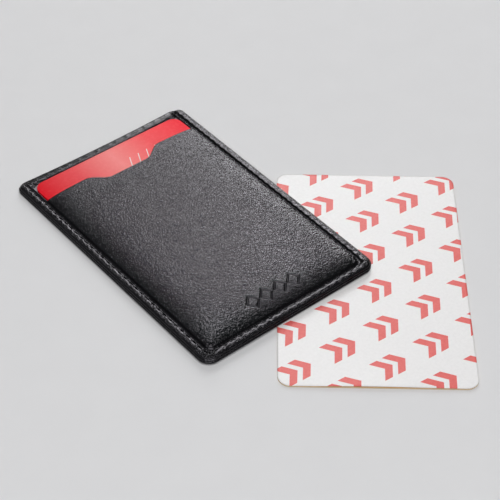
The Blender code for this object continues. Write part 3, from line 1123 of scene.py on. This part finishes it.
def fabric_material():
    """Grey pocket lining, a fine plain weave."""
    nodes = Nodes("grey_lining_fabric")
    place = nodes.place()
    warp = nodes.node("ShaderNodeTexWave", {"Vector": place, "Scale": 700.0}, bands_direction="X")
    weft = nodes.node("ShaderNodeTexWave", {"Vector": place, "Scale": 700.0}, bands_direction="Y")
    threads = nodes.times(warp.outputs["Fac"], weft.outputs["Fac"])
    tone = nodes.noise(place, 400.0, 4.0)
    colour = nodes.ramp(tone, ((0.2, (0.20, 0.185, 0.20)), (0.8, (0.30, 0.28, 0.30))))
    nodes.put(Base_Color=colour, Roughness=0.75, Normal=nodes.bump(threads, 0.0001, 0.6))
    nodes.put(Sheen_Weight=0.2)
    return nodes.material


def foam_material():
    """Pale open foam."""
    nodes = Nodes("padding_foam")
    cells = nodes.node("ShaderNodeTexVoronoi", {"Vector": nodes.place(), "Scale": 2600.0})
    walls = cells.outputs["Distance"]
    colour = nodes.ramp(walls, ((0.0, (0.45, 0.44, 0.40)), (1.0, (0.66, 0.65, 0.60))))
    nodes.put(Base_Color=colour, Roughness=0.9, Normal=nodes.bump(walls, 0.0001, 0.8))
    return nodes.material


# Scale, detail and roughness of the noise that a material follows, its darker and its
# lighter colour, the distance and strength of its bump, and its other values
NOISY = {
    "grey_board": (
        (1800.0, 4.0, 0.7), (0.22, 0.20, 0.17), (0.34, 0.31, 0.27), (0.00005, 0.5),
        {"Roughness": 0.9},
    ),
    "amber_adhesive": (
        (300.0, 2.0), (0.62, 0.33, 0.10), (0.74, 0.42, 0.15), (0.00005, 0.4),
        {"Roughness": 0.18, "Subsurface_Weight": 0.2, "Subsurface_Scale": 0.001},
    ),
    "carrier_film": (
        (150.0, 2.0), (0.70, 0.68, 0.62), (0.78, 0.76, 0.70), (0.00003, 0.3),
        {"Roughness": 0.15},
    ),
    "backing_paper": (
        (1500.0, 4.0, 0.65), (0.60, 0.48, 0.30), (0.70, 0.58, 0.38), (0.00002, 0.4),
        {"Roughness": 0.5},
    ),
}


def noisy_material(name):
    """A material whose colour and surface follow one noise."""
    noise, dark, light, bump, rest = NOISY[name]
    nodes = Nodes(name)
    fine = nodes.noise(nodes.place(), *noise)
    colour = nodes.ramp(fine, ((0.3, dark), (0.7, light)))
    nodes.put(Base_Color=colour, Normal=nodes.bump(fine, *bump), **rest)
    return nodes.material


def foil_material():
    """Aluminium shielding foil, lightly creased."""
    nodes = Nodes("shield_foil")
    crease = nodes.noise(nodes.place(), 220.0, 4.0)
    rough = nodes.mapped(crease, 0.22, 0.42)
    nodes.put(Base_Color=(0.72, 0.72, 0.73, 1.0), Metallic=1.0, Roughness=rough)
    nodes.put(Normal=nodes.bump(crease, 0.0001, 0.5))
    return nodes.material


def card_material():
    """Red gloss card whose red is paler across its middle, a painted highlight, with a few thin white lines."""
    nodes = Nodes("red_card_plastic")
    place = nodes.place()
    across = along_axis(nodes, place, SLEEVE.col[0].xyz)
    up = along_axis(nodes, place, SLEEVE.col[1].xyz)
    # The red pales across the card's middle and deepens towards both sides: a painted highlight in the card's
    # colour.
    red = nodes.ramp(
        nodes.add(nodes.math("DIVIDE", across, CARD_WIDTH), 0.5),
        (
            (0.0, (0.68, 0.004, 0.015)),
            (0.25, (0.79, 0.09, 0.10)),
            (0.5, (0.92, 0.27, 0.26)),
            (0.75, (0.92, 0.10, 0.11)),
            (1.0, (0.92, 0.025, 0.045)),
        ),
    )
    white = card_lines(nodes, across, up)
    colour = nodes.mix(white, red, (0.85, 0.80, 0.78, 1.0))
    fine = nodes.noise(place, 900.0, 2.0)
    nodes.put(Base_Color=colour, Roughness=nodes.mapped(fine, 0.24, 0.30))
    nodes.put(Normal=nodes.bump(fine, 0.00001, 0.15), Specular_IOR_Level=0.05)
    return nodes.material


def along_axis(nodes, place, axis):
    """Distance of a place along an axis, in millimetres."""
    inputs = {0: place, 1: tuple(axis / MM)}
    return nodes.node("ShaderNodeVectorMath", inputs, operation="DOT_PRODUCT").outputs["Value"]


CARD_WIDTH = 54.0
CARD_LINES_X = 9.0
CARD_LINES_Y = 33.0
CARD_LINE_GAP = 3.2
CARD_LINE_WIDTH = 0.28
CARD_LINE_HALF = 2.6
CARD_LINE_LEAN = 0.45


def card_lines(nodes, across, up):
    """Five short leaning lines near the card's upper edge."""
    lean = nodes.times(nodes.math("SUBTRACT", up, CARD_LINES_Y), CARD_LINE_LEAN)
    x = nodes.math("SUBTRACT", nodes.math("SUBTRACT", across, lean), CARD_LINES_X)
    nearest = nodes.math("PINGPONG", x, CARD_LINE_GAP / 2)
    thin = nodes.math("LESS_THAN", nearest, CARD_LINE_WIDTH / 2)
    wide = nodes.math("LESS_THAN", nodes.math("ABSOLUTE", x), 2.5 * CARD_LINE_GAP)
    high = nodes.math("LESS_THAN", nodes.apart(up, CARD_LINES_Y), CARD_LINE_HALF)
    return nodes.times(nodes.times(thin, wide), high)


PRINT_STEP = 15.0
PRINT_ROW = 12.6
PRINT_TURN = math.radians(-35)
CHEVRON_HEIGHT = 3.6
CHEVRON_WIDTH = 2.6
CHEVRON_GAP = 4.4
CHEVRON_SLANT = 0.75
CHEVRON_SHIFT = 1.2


def paper_material():
    """Satin white release paper, printed all over with pairs of red chevrons."""
    nodes = Nodes("printed_release_paper")
    uv = nodes.node("ShaderNodeUVMap", uv_map="print").outputs["UV"]
    turned = nodes.node(
        "ShaderNodeMapping",
        {"Vector": uv, "Scale": (PRINT_SPAN,) * 3, "Rotation": (0, 0, PRINT_TURN)},
    )
    parts = nodes.node("ShaderNodeSeparateXYZ", {0: turned.outputs[0]})
    row = nodes.math("FLOOR", nodes.math("DIVIDE", parts.outputs["Y"], PRINT_ROW))
    x = nodes.add(parts.outputs["X"], nodes.times(row, PRINT_STEP / 2))
    x = nodes.math("SUBTRACT", nodes.math("FLOORED_MODULO", x, PRINT_STEP), PRINT_STEP / 2)
    y = nodes.apart(nodes.math("FLOORED_MODULO", parts.outputs["Y"], PRINT_ROW), PRINT_ROW / 2)
    point = nodes.add(x, nodes.times(y, CHEVRON_SLANT))
    ink = 0.0
    for side in (-0.5, 0.5):
        away = nodes.apart(point, CHEVRON_SHIFT - side * CHEVRON_GAP)
        ink = nodes.add(ink, nodes.math("LESS_THAN", away, CHEVRON_WIDTH / 2))
    ink = nodes.times(ink, nodes.math("LESS_THAN", y, CHEVRON_HEIGHT))
    fibre = nodes.noise(nodes.place(), 1200.0, 4.0, 0.6)
    paper = nodes.ramp(fibre, ((0.3, (0.80, 0.79, 0.79)), (0.7, (0.85, 0.84, 0.84))))
    red = nodes.ramp(fibre, ((0.3, (0.72, 0.105, 0.095)), (0.7, (0.77, 0.145, 0.13))))
    nodes.put(Base_Color=nodes.mix(ink, paper, red), Roughness=nodes.mapped(fibre, 0.38, 0.46))
    nodes.put(Normal=nodes.bump(fibre, 0.00002, 0.3))
    return nodes.material


def dress(finish, *nodes):
    """Puts a finished material on CAD nodes that keep their own shape."""
    for node in nodes:
        for slot in frame["nodes"][node].material_slots:
            slot.material = finish


# Stage


# Half the floor's side in metres, and how far it lies below the object in millimetres
FLOOR_HALF = 3.0
FLOOR_GAP = 0.02
WORLD_STRENGTH = 0.06
# Name, azimuth and elevation of both ends, distance and width in metres, and radiance
LAMPS = (
    ("low_back", (54.5, 13), (40, 43), 1.0, 0.10, 12.6),
    ("high_back", (38.5, 42), (40, 62), 1.0, 0.10, 8.0),
    ("near_left", (34, 28), (32, 60), 1.0, 0.10, 4.1),
    ("far_left", (28, 40), (20, 60), 1.0, 0.10, 0.6),
    ("mouth_edge", (28.5, 8), (31.5, 28), 1.0, 0.10, 6.5),
    ("left", (-50, 40), (-5, 40), 1.3, 0.8, 0.25),
    ("front", (180, 52), (250, 52), 1.3, 0.9, 4.6),
)


def stage_floor():
    """A plain pale floor under the object."""
    z = cad_box[0].z - FLOOR_GAP * MM
    data = bpy.data.meshes.new("floor")
    corners = [(x * FLOOR_HALF, y * FLOOR_HALF, z) for x, y in ((-1, -1), (1, -1), (1, 1), (-1, 1))]
    data.from_pydata(corners, [], [(0, 1, 2, 3)])
    nodes = Nodes("pale_floor")
    fine = nodes.noise(nodes.place(), 90.0, 3.0)
    colour = nodes.ramp(fine, ((0.0, (0.70, 0.70, 0.71)), (1.0, (0.73, 0.73, 0.74))))
    nodes.put(Base_Color=colour, Roughness=0.8, Specular_IOR_Level=0.2)
    data.materials.append(nodes.material)
    in_scene("floor", data)


def heading(azimuth, elevation):
    """Direction seen at that azimuth from +Y towards +X and that height in degrees."""
    turn = math.radians(azimuth)
    rise = math.radians(elevation)
    level = math.cos(rise)
    return Vector((math.sin(turn) * level, math.cos(turn) * level, math.sin(rise)))


def soft_lamp(name, start, end, distance, width, radiance):
    """A rectangular soft lamp that reaches from one heading to another and faces the object."""
    ends = [heading(*start) * distance, heading(*end) * distance]
    middle = (ends[0] + ends[1]) / 2
    long_side = (ends[1] - ends[0]).normalized()
    away = (middle - long_side * middle.dot(long_side)).normalized()
    data = bpy.data.lights.new(name, "AREA")
    data.shape = "RECTANGLE"
    data.size = width
    data.size_y = (ends[1] - ends[0]).length
    data.energy = radiance * math.pi * data.size * data.size_y
    middle = middle + Vector((VIEW_X, VIEW_Y, 0))
    in_scene(name, data).matrix_world = placed(long_side.cross(away), long_side, away, middle)


def world_light(strength):
    """Even, dim grey surroundings."""
    world = bpy.data.worlds.new("surroundings")
    bpy.context.scene.world = world
    world.use_nodes = True
    background = world.node_tree.nodes["Background"]
    background.inputs["Color"].default_value = (1.0, 1.0, 1.0, 1.0)
    background.inputs["Strength"].default_value = strength


def camera():
    """The camera of the photograph."""
    back = heading(180 - VIEW_AZIMUTH, VIEW_ELEVATION)
    target = Vector((VIEW_X, VIEW_Y, cad_box[0].z))
    data = bpy.data.cameras.new("camera")
    data.sensor_width = SENSOR_WIDTH
    data.lens = FOCAL_LENGTH
    data.clip_start = 0.01
    made = in_scene("camera", data)
    made.location = target + back * VIEW_DISTANCE
    made.rotation_mode = "QUATERNION"
    roll = Matrix.Rotation(math.radians(VIEW_ROLL), 3, "Z").to_quaternion()
    made.rotation_quaternion = back.to_track_quat("Z", "Y") @ roll
    bpy.context.scene.camera = made


def build():
    leather = leather_material()
    cover("front", front_shell(), leather, press_mark)
    cover("back", back_shell(), leather)
    stitching(thread_material())
    fabric = fabric_material()
    back_lining(fabric)
    front_lining(fabric)
    front_padding(foam_material())
    printed_liner(paper_material())
    dress(card_material(), "bank_card")
    dress(noisy_material("grey_board"), "sleeve_back_board")
    dress(foil_material(), "sleeve_back_shield", "sleeve_front_shield")
    dress(noisy_material("amber_adhesive"), "pad_upper_adhesive", "pad_lower_adhesive")
    dress(noisy_material("carrier_film"), "pad_carrier_film")
    dress(noisy_material("backing_paper"), "pad_backing_liner")


bpy.context.scene.view_settings.view_transform = "Standard"
stage_floor()
world_light(WORLD_STRENGTH)
for lamp in LAMPS:
    soft_lamp(*lamp)
camera()
build()
